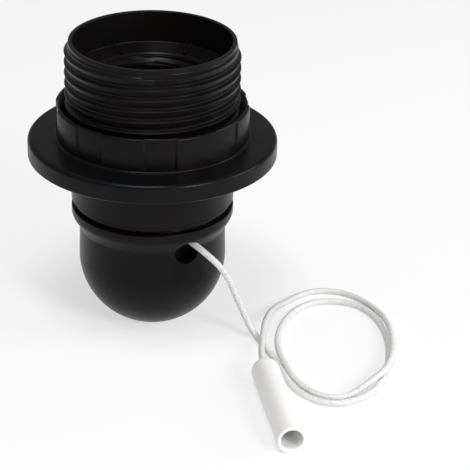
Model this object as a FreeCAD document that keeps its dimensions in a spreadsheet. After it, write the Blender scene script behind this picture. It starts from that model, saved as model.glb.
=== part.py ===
import FreeCAD, Part

import math
import os

import Sketcher

# Edison-screw lampholder with a thermoplastic dome cap, an external barrel thread that
# carries a shade ring, and a pull-cord ratchet switch in the cap.
# Frame: +Z up the lamp axis towards the mouth, z = 0 on the flat foot round the nipple
# thread. The switch is drawn with the pull towards +X and then turned about Z.

V = FreeCAD.Vector
DOC = FreeCAD.newDocument("lampholder")

DRIVING = {
    # threaded barrel
    "crest_radius": 19.9,
    "barrel_height": 38.0,
    "thread_depth": 0.8,
    "rim_inset": 1.0,
    "rim_wall": 1.0,
    "skirt_inset": 1.25,
    "lip_round": 0.4,
    "thread_pitch": 2.5,
    "thread_turns": 8.2,
    "thread_land": 1.8,
    "thread_length": 22.3,
    "crest_rise": 0.4,
    "crest_fall": 1.8,
    "thread_bite": 0.25,
    "lip_drop": 0.8,
    "lip_step": 0.6,
    "mouth_depth": 7.4,
    "floor_fall": 1.1,
    "floor_wall": 1.5,
    "socket_radius": 13.3,
    "socket_wall": 1.4,
    "socket_length": 14.9,
    "well_step": 0.6,
    "rib_angle": 3.4,
    "rib_height": 0.5,
    "rib_start": 0.4,
    "rib_count": 6,
    # dome cap
    "cap_rim_top": 27.9,
    "cap_rim_band": 1.5,
    "parting_gap": 1.8,
    "neck_height": 7.1,
    "dome_inset": 1.65,
    "dome_taper": 0.15,
    "dome_centre": 15.3,
    "dome_wall": 1.9,
    "shoulder_height": 4.1,
    "neck_gap": 0.1,
    "neck_wall": 1.8,
    "boss_radius": 7.4,
    "boss_height": 9.0,
    "nipple_radius": 5.0,
    "cord_hole_radius": 2.95,
    "cord_hole_drop": 1.8,
    "grub_radius": 1.5,
    "grub_height": 4.5,
    "grub_length": 3.2,
    "grub_set_back": 0.2,
    "grub_gap": 0.05,
    "pull_angle": -62.4,
    # shade ring
    "ring_gap": 0.06,
    "ring_set_back": 14.9,
    "collar_wall": 2.1,
    "collar_height": 7.9,
    "collar_chamfer": 0.4,
    "foot_bead": 0.25,
    "lead_in": 1.3,
    "flange_radius": 28.4,
    "flange_fall": 0.1,
    "flange_edge": 4.3,
    "flange_round": 1.0,
    "flange_plate": 2.4,
    "flange_lip": 1.6,
    "grip_count": 8,
    "grip_angle": 18.4,
    "grip_depth": 0.4,
    "grip_phase": -85.5,
    # contact block
    "block_inset": 0.3,
    "block_flange_height": 1.5,
    "block_gap": 0.2,
    "block_depth": 6.8,
    "strip_thickness": 0.5,
    "strip_width": 1.8,
    "rivet_place": 6.0,
    "rivet_radius": 0.9,
    "rivet_head": 1.6,
    "rivet_tail": 1.1,
    "rivet_head_height": 0.6,
    "centre_width": 7.0,
    "centre_rise": 3.2,
    "centre_peak": 1.6,
    "centre_foot": 2.4,
    "side_width": 4.8,
    "side_inset": 0.9,
    "side_drop": 2.0,
    "side_tip": 1.3,
    # switch
    "base_front": 9.0,
    "base_back": 11.0,
    "base_wall": 1.6,
    "slider_headroom": 2.7,
    "slider_thickness": 3.0,
    "slider_width": 6.0,
    "slider_reach": 0.3,
    "slider_back": 6.4,
    "slider_side": 4.4,
    "slide_gap": 0.2,
    "slider_travel": 2.75,
    "rail_lap": 1.1,
    "rail_depth": 1.4,
    "tab_reach": 4.8,
    "tab_thickness": 1.4,
    "cord_side": 1.1,
    "cord_diameter": 1.5,
    "cord_gap": 0.3,
    "ferrule_radius": 1.35,
    "ferrule_bore": 1.0,
    "ferrule_length": 2.4,
    "ferrule_front": 6.5,
    "wheel_radius": 3.9,
    "wheel_root": 3.1,
    "wheel_width": 2.8,
    "wheel_play": 0.5,
    "tooth_count": 8,
    "gap_half_angle": 12.5,
    "pawl_thickness": 0.8,
    "pawl_width": 1.8,
    "pawl_depth": 0.8,
    "cam_radius": 2.6,
    "cam_width": 4.0,
    "axle_radius": 1.0,
    "axle_gap": 0.05,
    "seat_gap": 0.02,
    "spring_thickness": 0.35,
    "leaf_thickness": 0.3,
    "detent_foot": 2.4,
    "arm_side": -2.2,
    "arm_width": 3.2,
    "contact_gap": 0.4,
    "fixed_place": 4.4,
    "button_radius": 0.8,
    "screw_radius": 1.2,
    "screw_head": 2.0,
    "screw_head_height": 1.5,
    "screw_boss": 2.2,
    "screw_inset": 2.1,
    "screw_cover": 2.0,
    "slot_width": 0.6,
    "slot_depth": 0.6,
    # terminals
    "terminal_length": 5.0,
    "terminal_depth": 4.0,
    "terminal_clear": 1.9,
    "terminal_offset": 3.0,
    "wire_radius": 1.2,
    "wire_overrun": 2.0,
    "clamp_rise": 3.2,
    "clamp_radius": 1.25,
    "clamp_head": 1.8,
    "clamp_head_height": 0.8,
    # bell and cord
    "lead_run": 3.2,
    "bell_radius": 3.15,
    "bell_length": 32.0,
    "bell_bore": 2.4,
    "bell_depth": 28.0,
    "bell_turn": 8.2,
    "knot_radius": 1.6,
    "coil_half_width": 14.6,
    "coil_half_length": 26.9,
    "coil_band": 3.6,
    "coil_height": 3.0,
}

# Cord route, from the slider's ferrule over the lip of the hole to the coil, and from
# the coil into the bell. Chosen by hand.
LEAD_POINTS = [
    V(16.9, -15.4, 17.3),
    V(20.6, -13.0, 8.6),
    V(24.3, -14.8, 1.1),
    V(27.6, -22.6, 0.76),
]
TAIL_POINTS = [V(27.4, -20.6, 1.9), V(25.2, -26.6, 2.5)]
COIL_CENTRE = V(41.3, -18.7, 0)
BELL_POLE = V(24.65, -32.7, 0)
KNOT_INSET = 3.6


class Size:
    """A value together with the sheet expression that gives it."""

    def __init__(self, value, text):
        self.value = float(value)
        self.text = text

    def join(self, other, sign, value):
        return Size(value, f"({self.text} {sign} {other.text})")

    def __add__(self, other):
        other = size_of(other)
        return self.join(other, "+", self.value + other.value)

    def __sub__(self, other):
        other = size_of(other)
        return self.join(other, "-", self.value - other.value)

    def __mul__(self, other):
        other = size_of(other)
        return self.join(other, "*", self.value * other.value)

    def __truediv__(self, other):
        other = size_of(other)
        return self.join(other, "/", self.value / other.value)

    def __radd__(self, other):
        return size_of(other) + self

    def __rsub__(self, other):
        return size_of(other) - self

    def __rmul__(self, other):
        return size_of(other) * self

    def __rtruediv__(self, other):
        return size_of(other) / self

    def __neg__(self):
        return size_of(0) - self


def size_of(item):
    return item if isinstance(item, Size) else Size(item, str(item))


def leg(long_side, short_side):
    """Third side of a right triangle."""
    value = math.sqrt(long_side.value**2 - short_side.value**2)
    return Size(value, f"sqrt({long_side.text} ^ 2 - {short_side.text} ^ 2)")


def sine(angle):
    return Size(math.sin(math.radians(angle.value)), f"sin({angle.text} * 1 deg)")


def cosine(angle):
    return Size(math.cos(math.radians(angle.value)), f"cos({angle.text} * 1 deg)")


class Dimensions:
    """Driving sizes, one sheet cell each."""

    def __init__(self, driving):
        self.sheet = DOC.addObject("Spreadsheet::Sheet", "dims")
        for row, (name, value) in enumerate(driving.items(), start=1):
            self.sheet.set(f"A{row}", name)
            self.sheet.set(f"B{row}", str(value))
            self.sheet.setAlias(f"B{row}", name)
            setattr(self, name, Size(value, f"dims.{name}"))
        DOC.recompute()


D = Dimensions(DRIVING)
SUB_PARTS = []


def derive_radii():
    D.root_radius = D.crest_radius - D.thread_depth
    D.rim_radius = D.crest_radius - D.rim_inset
    D.mouth_radius = D.rim_radius - D.rim_wall
    D.skirt_radius = D.crest_radius - D.skirt_inset
    D.well_radius = D.socket_radius + D.well_step
    D.dome_radius = D.skirt_radius - D.dome_inset
    D.shoulder_radius = D.dome_radius - D.dome_taper
    D.cavity_radius = D.dome_radius - D.dome_wall
    D.neck_radius = D.cavity_radius + D.neck_wall
    D.skirt_bore = D.neck_radius + D.neck_gap
    D.block_flange = D.skirt_bore - D.block_inset
    D.collar_radius = D.crest_radius + D.collar_wall
    D.hub_radius = D.collar_radius - D.grip_depth
    D.terminal_outer = D.cavity_radius - D.terminal_clear
    D.terminal_inner = D.terminal_outer - D.terminal_depth
    D.base_half = D.terminal_inner - D.slide_gap


def derive_heights():
    """Barrel and ring from the rim down, switch and cap from the parting line."""
    D.skirt_foot = D.cap_rim_top + D.parting_gap
    D.rim_height = D.skirt_foot + D.barrel_height
    D.thread_top = D.rim_height - D.thread_land
    D.thread_foot = D.thread_top - D.thread_length
    D.floor_outer = D.rim_height - D.mouth_depth
    D.floor_inner = D.floor_outer - D.floor_fall
    D.socket_foot = D.floor_inner - D.socket_length
    D.collar_top = D.rim_height - D.ring_set_back
    D.collar_foot = D.collar_top - D.collar_height
    D.flange_top = D.collar_foot - D.flange_fall
    D.flange_foot = D.flange_top - D.flange_edge
    D.shoulder_top = D.cap_rim_top - D.cap_rim_band
    D.shoulder_foot = D.shoulder_top - D.shoulder_height
    D.neck_top = D.cap_rim_top + D.neck_height
    D.block_top = D.neck_top + D.block_flange_height
    D.block_foot = D.neck_top - D.block_depth
    D.slider_top = D.block_foot - D.slider_headroom
    D.slider_foot = D.slider_top - D.slider_thickness
    D.cord_height = D.slider_foot + D.slider_thickness / 2
    D.cord_hole_height = D.cord_height - D.cord_hole_drop
    D.wheel_height = D.slider_foot - D.slide_gap - D.wheel_radius
    D.tray_floor = D.wheel_height - D.wheel_radius - D.wheel_play
    D.base_foot = D.tray_floor - D.base_wall
    D.arm_height = D.wheel_height + D.cam_radius + D.leaf_thickness
    D.strip_foot = D.arm_height - D.leaf_thickness * 2 - D.contact_gap - D.strip_thickness
    D.clamp_height = D.strip_foot + D.clamp_rise


def derive_places():
    """Fastener places across the switch, as (x, y) pairs."""
    D.slider_front = D.base_front + D.slider_reach
    middle = (D.terminal_inner + D.terminal_outer) / 2
    D.rivet_places = [
        (-D.rivet_place, D.arm_side),
        (-D.terminal_offset, middle),
        (D.terminal_offset, -middle),
    ]
    D.screw_places = [
        (D.base_front - D.screw_inset, D.base_half - D.screw_inset),
        (D.screw_inset - D.base_back, D.screw_inset - D.base_half),
    ]
    D.screw_top = D.block_top - D.screw_cover * 2


derive_radii()
derive_heights()
derive_places()


def bind(item, prop, size):
    size = size_of(size)
    if not prop.startswith("."):
        setattr(item, prop, size.value)
    item.setExpression(prop, size.text)


def keep(item, label, turned=False):
    """Registers a finished sub-part, turned to the pull side if it belongs to the switch."""
    item.Label = label
    if turned:
        item.Placement = FreeCAD.Placement(V(0, 0, 0), FreeCAD.Rotation(V(0, 0, 1), 1))
        bind(item, ".Placement.Rotation.Angle", D.pull_angle)
    SUB_PARTS.append(item)
    return item


# ---------------------------------------------------------------- primitives


def move_to(item, x, y, z):
    for axis, size in zip("xyz", (x, y, z)):
        bind(item, f".Placement.Base.{axis}", size)


def box(name, x_span, y_span, z_span):
    item = DOC.addObject("Part::Box", name)
    bind(item, "Length", size_of(x_span[1]) - x_span[0])
    bind(item, "Width", size_of(y_span[1]) - y_span[0])
    bind(item, "Height", size_of(z_span[1]) - z_span[0])
    move_to(item, x_span[0], y_span[0], z_span[0])
    return item


def rod(name, axis, radius, span, u, v):
    """Cylinder along X, Y or Z from span[0] to span[1]; u and v are the other two places."""
    item = DOC.addObject("Part::Cylinder", name)
    turns = {
        "X": FreeCAD.Rotation(V(0, 1, 0), 90),
        "Y": FreeCAD.Rotation(V(1, 0, 0), -90),
        "Z": FreeCAD.Rotation(),
    }
    item.Placement = FreeCAD.Placement(V(0, 0, 0), turns[axis])
    bind(item, "Radius", radius)
    bind(item, "Height", size_of(span[1]) - span[0])
    places = {"X": (span[0], u, v), "Y": (u, span[0], v), "Z": (u, v, span[0])}
    move_to(item, *places[axis])
    return item


def fuse(name, items):
    item = DOC.addObject("Part::MultiFuse", name)
    item.Shapes = items
    return item


def cut(name, base, tools):
    item = DOC.addObject("Part::Cut", name)
    item.Base = base
    item.Tool = tools[0] if len(tools) == 1 else fuse(f"{name}_tools", tools)
    return item


# ---------------------------------------------------------------- bodies


def new_body(name):
    return DOC.addObject("PartDesign::Body", f"{name}_body")


def origin_plane(body, role):
    return next(item for item in body.Origin.OriginFeatures if item.Role == role)


def new_sketch(body, name, role):
    sketch = body.newObject("Sketcher::SketchObject", name)
    sketch.AttachmentSupport = [(origin_plane(body, role), "")]
    sketch.MapMode = "FlatFace"
    return sketch


def hold_point(sketch, geometry, end, corner):
    """Holds one end of a line at a corner, given as two sizes."""
    across, along = (size_of(item) for item in corner)
    for kind, size, axis in (("DistanceX", across, -2), ("DistanceY", along, -1)):
        if size.value == 0:
            sketch.addConstraint(Sketcher.Constraint("PointOnObject", geometry, end, axis))
            continue
        rule = Sketcher.Constraint(kind, -1, 1, geometry, end, size.value)
        index = sketch.addConstraint(rule)
        sketch.setExpression(f"Constraints[{index}]", size.text)


def draw_outline(sketch, corners, arcs=None):
    """Closed outline through the corners. arcs maps a corner's index to the centre of the
    arc that leads on from it, as two sizes and the sense, 1 anticlockwise or -1."""
    arcs = arcs or {}
    points = [V(size_of(x).value, size_of(y).value, 0) for x, y in corners]
    first = sketch.GeometryCount
    for index, start in enumerate(points):
        end = points[(index + 1) % len(points)]
        if index in arcs:
            sketch.addGeometry(arc_between(start, end, arcs[index]), False)
        else:
            sketch.addGeometry(Part.LineSegment(start, end), False)
    for index in range(len(points)):
        after = (index + 1) % len(points)
        leaving = end_of(arcs, index, True)
        arriving = end_of(arcs, after, False)
        rule = Sketcher.Constraint("Coincident", first + index, leaving, first + after, arriving)
        sketch.addConstraint(rule)
    for index, corner in enumerate(corners):
        hold_point(sketch, first + index, end_of(arcs, index, False), corner)
        if index in arcs:
            hold_centre(sketch, first + index, arcs[index])


def end_of(arcs, index, last):
    """Point number of a segment's start or end; a clockwise arc is stored reversed."""
    clockwise = index in arcs and arcs[index][2] < 0
    return 2 if last != clockwise else 1


def arc_between(start, end, arc):
    centre = V(size_of(arc[0]).value, size_of(arc[1]).value, 0)
    if arc[2] < 0:
        start, end = end, start
    radius = (start - centre).Length
    first = math.atan2(start.y - centre.y, start.x - centre.x)
    last = math.atan2(end.y - centre.y, end.x - centre.x)
    if last < first:
        last += 2 * math.pi
    return Part.ArcOfCircle(Part.Circle(centre, V(0, 0, 1), radius), first, last)


def hold_centre(sketch, geometry, arc):
    """One place is enough, because both ends of the arc are held."""
    height = size_of(arc[1])
    rule = Sketcher.Constraint("DistanceY", -1, 1, geometry, 3, height.value)
    index = sketch.addConstraint(rule)
    sketch.setExpression(f"Constraints[{index}]", height.text)


def draw_circle(sketch, radius, x=0, y=0):
    x, y, radius = size_of(x), size_of(y), size_of(radius)
    circle = Part.Circle(V(x.value, y.value, 0), V(0, 0, 1), radius.value)
    geometry = sketch.addGeometry(circle, False)
    index = sketch.addConstraint(Sketcher.Constraint("Radius", geometry, radius.value))
    sketch.setExpression(f"Constraints[{index}]", radius.text)
    hold_point(sketch, geometry, 3, (x, y))


def turned_feature(body, kind, name, corners, arcs=None, angle=360):
    """Revolution or Groove about Z of an outline drawn in the XZ plane."""
    sketch = new_sketch(body, f"{name}_sketch", "XZ_Plane")
    draw_outline(sketch, corners, arcs)
    feature = body.newObject(f"PartDesign::{kind}", name)
    feature.Profile = sketch
    feature.ReferenceAxis = (sketch, ["V_Axis"])
    bind(feature, "Angle", angle)
    feature.Midplane = angle != 360
    return feature


def polar_pattern(body, name, feature, axis, count):
    pattern = body.newObject("PartDesign::PolarPattern", name)
    pattern.Originals = [feature]
    pattern.Axis = axis
    pattern.Angle = 360
    pattern.Occurrences = int(count.value)
    pattern.setExpression("Occurrences", count.text)
    body.Tip = pattern
    return pattern


def bent_strip(name, corners, y_top, width, extra=(), holes=()):
    """Strip bent from sheet: an outline in the XZ plane, padded in Y down from y_top."""
    body = new_body(name)
    sketch = new_sketch(body, f"{name}_sketch", "XZ_Plane")
    bind(sketch, ".AttachmentOffset.Base.z", -size_of(y_top))
    draw_outline(sketch, corners)
    pad = body.newObject("PartDesign::Pad", f"{name}_pad")
    pad.Profile = sketch
    bind(pad, "Length", width)
    solid = fuse(f"{name}_joined", [body, *extra]) if extra else body
    if holes:
        solid = cut(f"{name}_cut", solid, holes)
    return keep(solid, name, turned=True)


# ---------------------------------------------------------------- housing


def barrel_profile():
    lip_radius = D.skirt_radius - D.lip_step
    lip_foot = D.skirt_foot - D.lip_drop
    ceiling = D.floor_outer - D.floor_wall
    return [
        (D.skirt_radius, D.skirt_foot),
        (D.skirt_radius, D.thread_foot - D.lip_step),
        (D.root_radius, D.thread_foot),
        (D.root_radius, D.thread_top + D.crest_rise),
        (D.rim_radius, D.thread_top + D.crest_rise + D.lip_round),
        (D.rim_radius, D.rim_height - D.lip_round),
        (D.rim_radius - D.lip_round, D.rim_height),
        (D.mouth_radius + D.lip_round, D.rim_height),
        (D.mouth_radius, D.rim_height - D.lip_round * 2),
        (D.mouth_radius, D.floor_outer),
        (D.socket_radius, D.floor_inner),
        (D.socket_radius, D.socket_foot),
        (D.well_radius, D.socket_foot),
        (D.well_radius, D.block_top),
        (D.well_radius + D.socket_wall, D.block_top),
        (D.well_radius + D.socket_wall, ceiling),
        (D.skirt_bore, ceiling),
        (D.skirt_bore, lip_foot),
        (lip_radius, lip_foot),
        (lip_radius, D.skirt_foot),
    ]


def threaded_barrel():
    body = new_body("threaded_barrel")
    turned_feature(body, "Revolution", "barrel_wall", barrel_profile())
    rise = D.rib_height
    ribs = turned_feature(
        body,
        "Revolution",
        "mouth_rib",
        [
            (D.socket_radius + D.rib_start, D.floor_inner - rise),
            (D.mouth_radius + D.lip_round, D.floor_outer - rise),
            (D.mouth_radius + D.lip_round, D.floor_outer + rise),
            (D.socket_radius + D.rib_start, D.floor_inner + rise),
        ],
        angle=D.rib_angle,
    )
    polar_pattern(body, "mouth_ribs", ribs, (ribs.Profile[0], ["V_Axis"]), D.rib_count)
    sketch = new_sketch(body, "thread_sketch", "XZ_Plane")
    foot = D.thread_top - D.thread_pitch * D.thread_turns
    inner = D.root_radius - D.thread_bite
    draw_outline(
        sketch,
        [
            (inner, foot - D.crest_fall),
            (D.crest_radius, foot),
            (D.crest_radius - D.lip_round / 8, foot + D.lip_round / 4),
            (inner, foot + D.crest_rise),
        ],
    )
    thread = body.newObject("PartDesign::AdditiveHelix", "barrel_thread")
    thread.Profile = sketch
    thread.ReferenceAxis = (sketch, ["V_Axis"])
    thread.Mode = "pitch-turns-angle"
    bind(thread, "Pitch", D.thread_pitch)
    bind(thread, "Turns", D.thread_turns)
    thread.Angle = 0
    body.Placement = FreeCAD.Placement(V(0, 0, 0), FreeCAD.Rotation(V(0, 0, 1), 180))
    return keep(body, "threaded_barrel")


def shoulder_bend():
    """Radius of the two equal arcs that carry the dome's side out to the cap's rim."""
    step = D.skirt_radius - D.shoulder_radius
    return (step * step + D.shoulder_height * D.shoulder_height) / (step * 4)


def cap_profile():
    foot_radius = leg(D.dome_radius, D.dome_centre)
    boss_reach = leg(D.cavity_radius, D.boss_radius)
    middle = (D.shoulder_radius + D.skirt_radius) / 2, (D.shoulder_foot + D.shoulder_top) / 2
    return [
        (D.nipple_radius, 0),
        (foot_radius, 0),
        (D.dome_radius, D.dome_centre),
        (D.shoulder_radius, D.shoulder_foot),
        middle,
        (D.skirt_radius, D.shoulder_top),
        (D.skirt_radius, D.cap_rim_top),
        (D.neck_radius, D.cap_rim_top),
        (D.neck_radius, D.neck_top),
        (D.cavity_radius, D.neck_top),
        (D.cavity_radius, D.dome_centre),
        (D.boss_radius, D.dome_centre - boss_reach),
        (D.boss_radius, D.boss_height),
        (D.nipple_radius, D.boss_height),
    ]


def side_pocket(body, name, radius, height, length, towards_pull):
    """Round pocket out from the Z axis along X, towards the pull side or away from it."""
    sketch = new_sketch(body, f"{name}_sketch", "YZ_Plane")
    draw_circle(sketch, radius, 0, height)
    pocket = body.newObject("PartDesign::Pocket", name)
    pocket.Profile = sketch
    bind(pocket, "Length", length)
    pocket.Reversed = towards_pull
    return pocket


def dome_cap():
    body = new_body("dome_cap")
    bend = shoulder_bend()
    arcs = {
        1: (0, D.dome_centre, 1),
        3: (D.shoulder_radius + bend, D.shoulder_foot, -1),
        4: (D.skirt_radius - bend, D.shoulder_top, 1),
        10: (0, D.dome_centre, -1),
    }
    turned_feature(body, "Revolution", "cap_wall", cap_profile(), arcs)
    side_pocket(body, "cord_hole", D.cord_hole_radius, D.cord_hole_height, D.dome_radius * 1.5, True)
    side_pocket(body, "grub_hole", D.grub_radius, D.grub_height, D.boss_radius + D.lip_step, False)
    return keep(body, "dome_cap", turned=True)


def nipple_screw():
    start = D.nipple_radius + D.grub_set_back
    end = start + D.grub_length
    body = rod("grub_body", "X", D.grub_radius - D.grub_gap, (-end, -start), 0, D.grub_height)
    half = D.slot_width / 2
    slot = box(
        "grub_slot",
        (-end, D.slot_depth - end),
        (-D.grub_radius, D.grub_radius),
        (D.grub_height - half, D.grub_height + half),
    )
    return keep(cut("grub_cut", body, [slot]), "nipple_screw", turned=True)


def ring_profile():
    bore = D.crest_radius + D.ring_gap
    inner_lip = D.flange_radius - D.flange_lip
    ceiling = D.flange_top - D.flange_plate
    return [
        (bore, D.flange_foot),
        (D.hub_radius, D.flange_foot),
        (D.hub_radius, ceiling),
        (inner_lip, ceiling),
        (inner_lip, D.flange_foot),
        (D.flange_radius, D.flange_foot),
        (D.flange_radius, D.flange_top - D.flange_round),
        (D.flange_radius - D.flange_round, D.flange_top),
        (D.collar_radius + D.foot_bead, D.collar_foot),
        (D.collar_radius, D.collar_foot + D.foot_bead),
        (D.collar_radius, D.collar_top - D.collar_chamfer),
        (D.collar_radius - D.collar_chamfer, D.collar_top),
        (bore + D.lead_in, D.collar_top),
        (bore, D.collar_top - D.lead_in),
    ]


def shade_ring():
    body = new_body("shade_ring")
    rounded = (D.flange_radius - D.flange_round, D.flange_top - D.flange_round, 1)
    turned_feature(body, "Revolution", "ring_wall", ring_profile(), {6: rounded})
    outer = D.collar_radius + D.grip_depth
    grip = turned_feature(
        body,
        "Groove",
        "grip_recess",
        [
            (D.collar_radius - D.grip_depth, D.collar_foot + D.grip_depth),
            (outer, D.collar_foot + D.grip_depth),
            (outer, D.collar_top + D.grip_depth),
            (D.collar_radius - D.grip_depth, D.collar_top + D.grip_depth),
        ],
        angle=D.grip_angle,
    )
    polar_pattern(body, "grip_recesses", grip, (grip.Profile[0], ["V_Axis"]), D.grip_count)
    body.Placement = FreeCAD.Placement(V(0, 0, 0), FreeCAD.Rotation(V(0, 0, 1), 1))
    bind(body, ".Placement.Rotation.Angle", D.grip_phase)
    return keep(body, "shade_ring")


# ---------------------------------------------------------------- contacts


def contact_block():
    flange = rod("block_flange", "Z", D.block_flange, (D.neck_top, D.block_top), 0, 0)
    plug = rod("block_plug", "Z", D.cavity_radius - D.block_gap, (D.block_foot, D.neck_top), 0, 0)
    holes = []
    for index, place in enumerate(D.rivet_places):
        span = (D.block_foot, D.block_top)
        holes.append(rod(f"rivet_hole_{index}", "Z", D.rivet_radius + D.seat_gap, span, *place))
    for index, place in enumerate(D.screw_places):
        span = (D.block_foot, D.screw_top)
        holes.append(rod(f"screw_seat_{index}", "Z", D.screw_radius + D.seat_gap, span, *place))
    solid = fuse("block_solid", [flange, plug])
    return keep(cut("block_cut", solid, holes), "contact_block", turned=True)


def contact_rivets():
    """One through the block and both strips, one under the side contact, one plain."""
    leaf_foot = D.block_foot - D.leaf_thickness
    strip_top = D.block_top + D.strip_thickness
    spans = [(leaf_foot, strip_top), (D.block_foot, strip_top), (D.block_foot, D.block_top)]
    pieces = []
    for index, (place, span) in enumerate(zip(D.rivet_places, spans)):
        pieces.append(rod(f"rivet_shank_{index}", "Z", D.rivet_radius, span, *place))
        head = (span[1], span[1] + D.rivet_head_height)
        pieces.append(rod(f"rivet_head_{index}", "Z", D.rivet_head, head, *place))
    tail = (leaf_foot - D.rivet_head_height, leaf_foot)
    pieces.append(rod("rivet_tail", "Z", D.rivet_tail, tail, *D.rivet_places[0]))
    return keep(fuse("rivets", pieces), "contact_rivets", turned=True)


def rivet_hole(name, index, span):
    return rod(name, "Z", D.rivet_radius + D.seat_gap, span, *D.rivet_places[index])


def centre_contact():
    low, thick = D.block_top, D.strip_thickness
    peak = low + D.centre_rise
    tip = peak - D.centre_peak / 2
    back = -D.rivet_place - D.centre_foot
    bend = D.centre_foot - D.rivet_place
    corners = [
        (back, low),
        (bend, low),
        (D.centre_peak, peak),
        (D.centre_peak * 2, tip),
        (D.centre_peak * 2, tip + thick),
        (D.centre_peak, peak + thick),
        (bend - thick / 2, low + thick),
        (back, low + thick),
    ]
    hole = rivet_hole("centre_rivet_hole", 0, (low, low + thick))
    return bent_strip("centre_contact", corners, D.centre_width / 2, D.centre_width, holes=[hole])


def side_contact():
    low, thick = D.block_top, D.strip_thickness
    reach = D.well_radius - D.side_inset
    half = D.side_width / 2
    top = D.socket_foot - D.side_drop
    back = -D.terminal_offset - D.rivet_head
    foot = box("side_foot", (back, half), (D.terminal_inner, reach), (low, low + thick))
    riser = box("side_riser", (-half, half), (reach - thick, reach), (low, top))
    tip_side = (reach - thick * 2, reach - thick / 2)
    tip = box("side_tip", (-half, half), tip_side, (top - thick, top + D.side_tip))
    hole = rivet_hole("side_rivet_hole", 1, (low, low + thick))
    solid = fuse("side_solid", [foot, riser, tip])
    return keep(cut("side_cut", solid, [hole]), "side_contact", turned=True)


def side_span(side, inner, outer):
    """Span along Y on the side that the sign gives."""
    return (inner, outer) if side > 0 else (-outer, -inner)


def terminal(label, side):
    """Brass clamp block under the contact block, beside the switch tray."""
    inner, outer = D.terminal_inner, D.terminal_outer
    middle = -side * D.terminal_offset
    half = D.terminal_length / 2
    x_span = (middle - half, middle + half)
    block = box(f"{label}_block", x_span, side_span(side, inner, outer), (D.strip_foot, D.block_foot))
    wire_span = (D.strip_foot, D.clamp_height + D.wire_overrun)
    wire_place = side * (inner + D.wire_radius + D.spring_thickness)
    wire = rod(f"{label}_wire", "Z", D.wire_radius, wire_span, middle, wire_place)
    clamp_span = side_span(side, inner + D.wire_radius, outer)
    radius = D.clamp_radius + D.seat_gap
    clamp = rod(f"{label}_clamp", "Y", radius, clamp_span, middle, D.clamp_height)
    return keep(cut(f"{label}_cut", block, [wire, clamp]), label, turned=True)


def clamp_screws():
    screws = [clamp_screw("neutral", 1), clamp_screw("live", -1)]
    return keep(fuse("clamps", screws), "terminal_screws", turned=True)


def clamp_screw(name, side):
    outer = D.terminal_outer
    end = outer + D.clamp_head_height
    middle = -side * D.terminal_offset
    height = D.clamp_height
    shank_span = side_span(side, outer - D.terminal_depth / 3, outer)
    shank = rod(f"{name}_shank", "Y", D.clamp_radius, shank_span, middle, height)
    head = rod(f"{name}_head", "Y", D.clamp_head, side_span(side, outer, end), middle, height)
    slot = box(
        f"{name}_slot",
        (middle - D.clamp_head, middle + D.clamp_head),
        side_span(side, end - D.slot_depth, end),
        (height - D.slot_width / 2, height + D.slot_width / 2),
    )
    return cut(f"{name}_screw", fuse(f"{name}_solid", [shank, head]), [slot])


# ---------------------------------------------------------------- switch


def tray_inner():
    return D.base_half - D.base_wall


def switch_base():
    wall, gap = D.base_wall, D.slide_gap
    inner_half = tray_inner()
    heights = (D.base_foot, D.block_foot)
    outer = box("base_outer", (-D.base_back, D.base_front), (-D.base_half, D.base_half), heights)
    inner_span = (wall - D.base_back, D.base_front - wall)
    inner = box("base_inner", inner_span, (-inner_half, inner_half), (D.tray_floor, D.block_foot))
    rail_top = D.slider_foot - gap
    rail_span = (-D.slider_back, D.base_front - wall)
    rail_side = (D.slider_side - D.rail_lap, inner_half)
    pieces = [
        cut("base_tray", outer, [inner]),
        box("base_rail", rail_span, rail_side, (rail_top - D.rail_depth, rail_top)),
    ]
    window_side = (D.slider_side - D.slider_width - gap, D.slider_side + gap)
    window_heights = (rail_top, D.slider_top + gap)
    strip_heights = (D.strip_foot, D.strip_foot + D.strip_thickness)
    tools = [
        box("slider_window", (D.base_front - wall, D.base_front), window_side, window_heights),
        box("strip_slot", fixed_span(), (-D.base_half, -inner_half), strip_heights),
        rod("axle_seat", "Y", D.axle_radius + D.seat_gap, (-D.base_half, D.base_half), 0, D.wheel_height),
    ]
    for index, place in enumerate(D.screw_places):
        pieces.append(rod(f"base_boss_{index}", "Z", D.screw_boss, heights, *place))
        radius = D.screw_radius + D.seat_gap
        tools.append(rod(f"base_screw_hole_{index}", "Z", radius, heights, *place))
    solid = fuse("base_solid", pieces)
    return keep(cut("base_cut", solid, tools), "switch_base", turned=True)


def core_screws():
    screws = [core_screw(index, *place) for index, place in enumerate(D.screw_places)]
    return keep(fuse("core_screw_pair", screws), "core_screws", turned=True)


def core_screw(index, x, y):
    foot = D.base_foot - D.screw_head_height
    shank = rod(f"core_shank_{index}", "Z", D.screw_radius, (foot, D.screw_top), x, y)
    head = rod(f"core_head_{index}", "Z", D.screw_head, (foot, D.base_foot), x, y)
    half = D.slot_width / 2
    x_span = (x - D.screw_head, x + D.screw_head)
    slot = box(f"core_slot_{index}", x_span, (y - half, y + half), (foot, foot + D.slot_depth))
    return cut(f"core_screw_{index}", fuse(f"core_solid_{index}", [shank, head]), [slot])


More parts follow.
